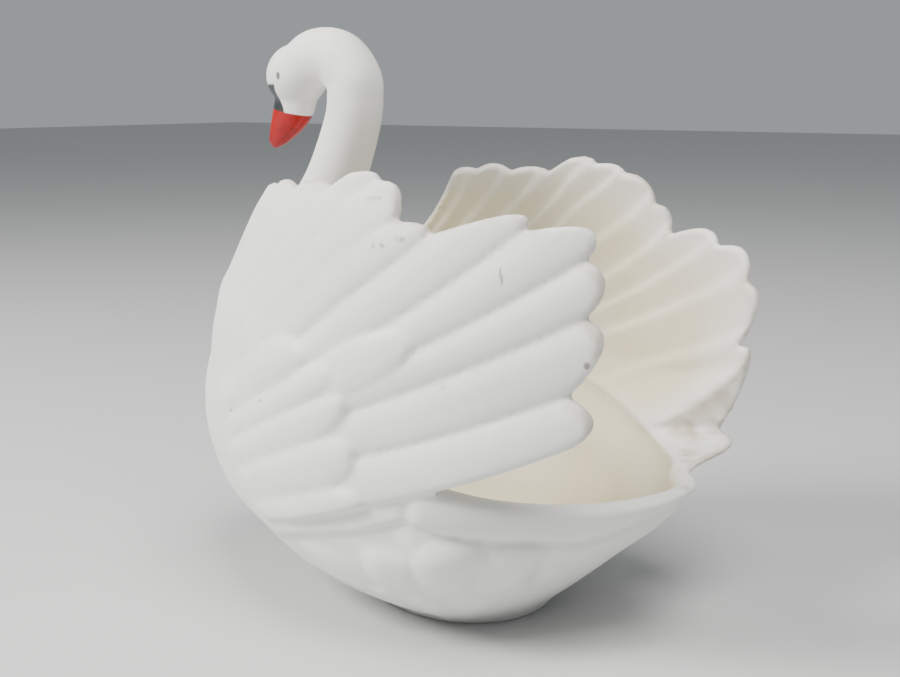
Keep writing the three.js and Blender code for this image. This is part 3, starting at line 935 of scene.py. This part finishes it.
# %% [markdown]
# Bisque is fired clay without glaze: off-white, matt and very finely grained. The cream of the
# inside, partly painted shade, the brown of the rubbed edges, partly painted shade on the tips' end
# faces, and the painted shade of the creases come from the masks, each broken up by noise so that no
# border is clean.
# %% Bisque colours
bisque = bpy.data.materials.new("bisque")
bisque.use_nodes = True
tree = bisque.node_tree
shader = tree.nodes["Principled BSDF"]
where = add(tree, "ShaderNodeTexCoord").outputs["Object"]
cool_white, warm_white = (0.80, 0.80, 0.775, 1), (0.84, 0.835, 0.80, 1)
deep_cream_and_shade, pale_cream_and_shade = (0.72, 0.655, 0.47, 1), (0.77, 0.72, 0.57, 1)
crease_shade_grey, rubbed_brown_and_shade, iron_brown = (0.50, 0.45, 0.36, 1), (0.42, 0.33, 0.22, 1), (0.23, 0.17, 0.12, 1)
crease_shade_share, rubbed_and_shade_share, speck_share = 0.35, 0.75, 0.7
cloud_scale, patch_scale = 45, 130
cloud = noise(tree, where, cloud_scale, 4.0)
white = blend(tree, between(tree, cloud, 0.35, 0.7), cool_white, warm_white)
cream_and_shade = blend(tree, between(tree, cloud, 0.3, 0.7), deep_cream_and_shade, pale_cream_and_shade)
# The inner faces turn cream: partly the bisque's own tone, partly painted shade deepest low in the bowl.
inner = between(tree, attribute(tree, "inner"), 0.05, 1.0)
colour = blend(tree, inner, white, cream_and_shade)
# Painted shade: the creases are darkened towards a greyish brown, broken up by the cloud noise.
painted_crease_shade = maths(tree, "MULTIPLY", attribute(tree, "crease"), between(tree, cloud, 0.35, 0.65))
colour = blend(tree, maths(tree, "MULTIPLY", painted_crease_shade, crease_shade_share), colour, crease_shade_grey)
patchy = between(tree, noise(tree, where, patch_scale), 0.3, 0.65)
# The edges turn brown: rubbed patina, and painted shade on the tips' thick end faces.
rubbed_and_shaded = maths(tree, "MULTIPLY", attribute(tree, "edge"), patchy)
colour = blend(tree, maths(tree, "MULTIPLY", rubbed_and_shaded, rubbed_and_shade_share), colour, rubbed_brown_and_shade)


def speck_mask(scale, size, share):
    node = add(tree, "ShaderNodeGroup", node_tree=specks)
    tree.links.new(where, node.inputs["Where"])
    for name, value in (("Scale", scale), ("Size", size), ("Share", share)):
        node.inputs[name].default_value = value
    return node.outputs["Mask"]


dark_specks = speck_mask(160, 0.055, 0.03)
colour = blend(tree, maths(tree, "MULTIPLY", dark_specks, speck_share), colour, iron_brown)
print("bisque has", len(tree.nodes), "nodes so far")

# %% [markdown]
# A few marks of wear belong to this one swan: two dark specks at the front of the left wing, a
# hairline crack near the end of a long feather, a chip at another feather's tip and rough, soiled
# patches where the fifth and sixth feathers end. Each is a small ellipsoid around a place on the
# wing, and colour alone is enough at this size.
# %% Marks of wear
def spot_mask(centre, radii, soft):
    shift = add(tree, "ShaderNodeVectorMath", {0: where, 1: centre}, operation="SUBTRACT")
    scaled = add(tree, "ShaderNodeVectorMath", {0: shift.outputs[0], 1: radii}, operation="DIVIDE")
    length = add(tree, "ShaderNodeVectorMath", {0: scaled.outputs[0]}, operation="LENGTH")
    return between(tree, length.outputs["Value"], 1 + soft, 1 - soft)


def on_wing(across, share):
    u = np.array([across / left_wing["feathers"]])
    v = np.array([np.interp(share, shares, rows)])
    return tuple(wing_skin(left_wing, u, v, True)[0] * MM)


def largest_of(spots):
    largest = None
    for across, share, radii, dark in spots:
        spot = spot_mask(on_wing(across, share), tuple(radius * MM for radius in radii), mark_softness)
        spot = maths(tree, "MULTIPLY", spot, dark)
        largest = spot if largest is None else maths(tree, "MAXIMUM", largest, spot)
    return largest


# Place across and along the wing, radii in millimetres, and how dark the mark is
marks = [
    (7.08, 0.368, (0.7, 0.30, 0.34), 0.7), (6.78, 0.25, (0.7, 0.28, 0.32), 0.65),
    (7.38, 0.886, (0.6, 0.16, 1.1), 0.6), (7.52, 0.874, (0.6, 0.18, 1.0), 0.6),
    (9.75, 0.982, (0.9, 0.45, 0.6), 0.7),
]
patches = [
    (5.41, 0.898, (1.2, 1.6, 0.5), 0.5), (4.55, 0.955, (1.4, 1.8, 0.6), 0.55),
    (5.62, 0.94, (1.2, 1.3, 0.5), 0.45),
]
mark_softness = 0.4
old_dirt = (0.13, 0.09, 0.06, 1)
rough = between(tree, noise(tree, where, 900, 3.0), 0.42, 0.6)
soiled = maths(tree, "MULTIPLY", largest_of(patches), rough)
wear = maths(tree, "MAXIMUM", largest_of(marks), soiled)
colour = blend(tree, wear, colour, old_dirt)
print("marks of wear", len(marks), "and soiled patches", len(patches))

# %% [markdown]
# The bill is painted red. The red stops at a plane across the root of the bill, and a leaning line
# behind the bill keeps it off the neck. Distances in the swan's own coordinates give a clean border,
# much finer than the mesh. The thin paint is a little uneven, as brushed colour is.
# %% Painted bill
place = add(tree, "ShaderNodeSeparateXYZ", {"Vector": where})
place_y, place_z = place.outputs["Y"], place.outputs["Z"]
bill_root_front, bill_root_under = Vector((0, -0.0518, 0.0993)), Vector((0, -0.0419, 0.0975))
slope = (bill_root_front.z - bill_root_under.z) / (bill_root_under.y - bill_root_front.y)
root_line = maths(tree, "MULTIPLY_ADD", place_y, -slope, bill_root_under.z + slope * bill_root_under.y)
below = between(tree, maths(tree, "SUBTRACT", root_line, place_z), -0.0001, 0.0002)
rear_y, rear_lean = -0.0395, 0.9
rear_line = maths(tree, "MULTIPLY_ADD", place_z, rear_lean, rear_y - rear_lean * bill_root_under.z)
in_front = maths(tree, "LESS_THAN", place_y, rear_line)
bill_end = 0.0885
high_up = maths(tree, "GREATER_THAN", place_z, bill_end)
red = maths(tree, "MULTIPLY", below, maths(tree, "MULTIPLY", in_front, high_up))
worn = between(tree, noise(tree, where, 300, 4.0), 0.25, 0.6)
dark_red, bright_red = (0.26, 0.002, 0.003, 1), (0.38, 0.004, 0.004, 1)
paint = blend(tree, worn, dark_red, bright_red)
print("the bill's root slopes down to the rear by", round(math.degrees(math.atan(slope)), 1), "degrees")

# %% [markdown]
# The lore, the bare skin between bill and eyes, is a black band on the front of the face. It ends
# under the eyes and over the bill, and a round cheek cuts into it from the rear. Each eye is a small
# flat grey dot on the side of the head. Two values in falling order make a mask that is full below
# them. The red goes on last, over the black.
# %% Painted lore and eyes
cheek = spot_mask((0, -0.0405, 0.1025), (0.02, 0.0068, 0.0068), 0.03)
face_front = between(tree, place_y, -0.0462, -0.0466)
under_eye = between(tree, place_z, 0.1046, 0.1038)
over_bill = between(tree, place_z, 0.0965, 0.097)
off_cheek = maths(tree, "SUBTRACT", 1.0, cheek)
band = maths(tree, "MULTIPLY", face_front, under_eye)
lore = maths(tree, "MULTIPLY", band, maths(tree, "MULTIPLY", over_bill, off_cheek))
eye_radii, eye_softness = (0.0016, 0.0005, 0.0008), 0.35
eyes = [spot_mask((side * 0.0062, -0.0453, 0.1059), eye_radii, eye_softness) for side in (1, -1)]
eye = maths(tree, "MAXIMUM", *eyes)
lore_black, eye_grey = (0.03, 0.036, 0.04, 1), (0.16, 0.17, 0.17, 1)
colour = blend(tree, lore, colour, lore_black)
colour = blend(tree, eye, colour, eye_grey)
colour = blend(tree, red, colour, paint)
tree.links.new(colour, shader.inputs["Base Color"])
print("painted parts added, bisque has", len(tree.nodes), "nodes")

# %% [markdown]
# Bisque scatters light widely, so it is rough, while the paint has a slight shine. The grain is a
# very low bump from two scales of noise, and the pinholes go into the same height.
# %% Grain and gloss
paint_roughness, least_roughness, roughness_spread = 0.32, 0.62, 0.16
painted = maths(tree, "MAXIMUM", red, maths(tree, "MAXIMUM", lore, eye))
matt = maths(tree, "MULTIPLY_ADD", noise(tree, where, 420, 3.0), roughness_spread, least_roughness)
finish = {"Factor": painted, "A": matt, "B": paint_roughness}
gloss = add(tree, "ShaderNodeMix", finish, data_type="FLOAT")
tree.links.new(gloss.outputs["Result"], shader.inputs["Roughness"])
shader.inputs["Specular IOR Level"].default_value = 0.35
pinholes = speck_mask(230, 0.09, 0.06)
fine_scale, coarse_scale, fine_share, hole_depth = 700, 160, 0.35, 1.5
soft_grain = maths(tree, "MULTIPLY", noise(tree, where, fine_scale, 2.0), fine_share)
grain = maths(tree, "ADD", soft_grain, noise(tree, where, coarse_scale, 3.0))
holes = maths(tree, "MULTIPLY", maths(tree, "MAXIMUM", pinholes, dark_specks), hole_depth)
relief = maths(tree, "SUBTRACT", grain, holes)
grain_depth, grain_strength = 0.0002, 0.55
surface = {"Height": relief, "Strength": grain_strength, "Distance": grain_depth}
bump = add(tree, "ShaderNodeBump", surface)
tree.links.new(bump.outputs["Normal"], shader.inputs["Normal"])
print("grain is at most", grain_depth / MM, "mm deep, bisque has", len(tree.nodes), "nodes")

# %% [markdown]
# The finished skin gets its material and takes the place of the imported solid, which was the same
# swan with coarser relief. It belongs to the one body that the casting is.
# %% Place of the swan
melted.materials.clear()
melted.materials.append(bisque)
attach(swan, "root")
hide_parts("swan")
print("swan's skin rides on the root body and replaces the solid")

# %% [markdown]
# A pale plain floor carries the swan's shadow and throws soft light up under the belly.
# %% Floor
bm = bmesh.new()
bmesh.ops.create_grid(bm, x_segments=1, y_segments=1, size=3)
floor_mesh = bpy.data.meshes.new("floor")
bm.to_mesh(floor_mesh)
bm.free()
floor_grey = (0.56, 0.56, 0.555, 1)
floor = bpy.data.objects.new("floor", floor_mesh)
bpy.context.scene.collection.objects.link(floor)
floor_material = bpy.data.materials.new("floor")
floor_material.use_nodes = True
floor_shader = floor_material.node_tree.nodes["Principled BSDF"]
floor_shader.inputs["Base Color"].default_value = floor_grey
floor_shader.inputs["Roughness"].default_value = 0.8
floor_mesh.materials.append(floor_material)
print("floor laid")

# %% [markdown]
# Soft light shows the form. A key from the photographer's left models the feathers, a wide light
# from above brings out the rim and the belly, and the world gives an even grey.
# %% Lights
aim = Vector((0, 0, 0.05))
lamp_white = (1, 0.99, 0.97)
sky, sky_strength = (0.75, 0.79, 0.82, 1), 0.45


def soft_light(name, place, size, power_watts):
    data = bpy.data.lights.new(name, "AREA")
    data.size = size
    data.energy = power_watts
    data.color = lamp_white
    light = bpy.data.objects.new(name, data)
    light.location = place
    light.rotation_euler = (aim - Vector(place)).to_track_quat("-Z", "Y").to_euler()
    bpy.context.scene.collection.objects.link(light)


soft_light("key", (0.46, -0.34, 0.46), 0.25, 8.0)
soft_light("top", (0.16, 0.24, 0.74), 0.4, 6.5)
world = bpy.data.worlds.new("studio")
bpy.context.scene.world = world
world.use_nodes = True
background = world.node_tree.nodes["Background"]
background.inputs["Color"].default_value = sky
background.inputs["Strength"].default_value = sky_strength
print("lights set")
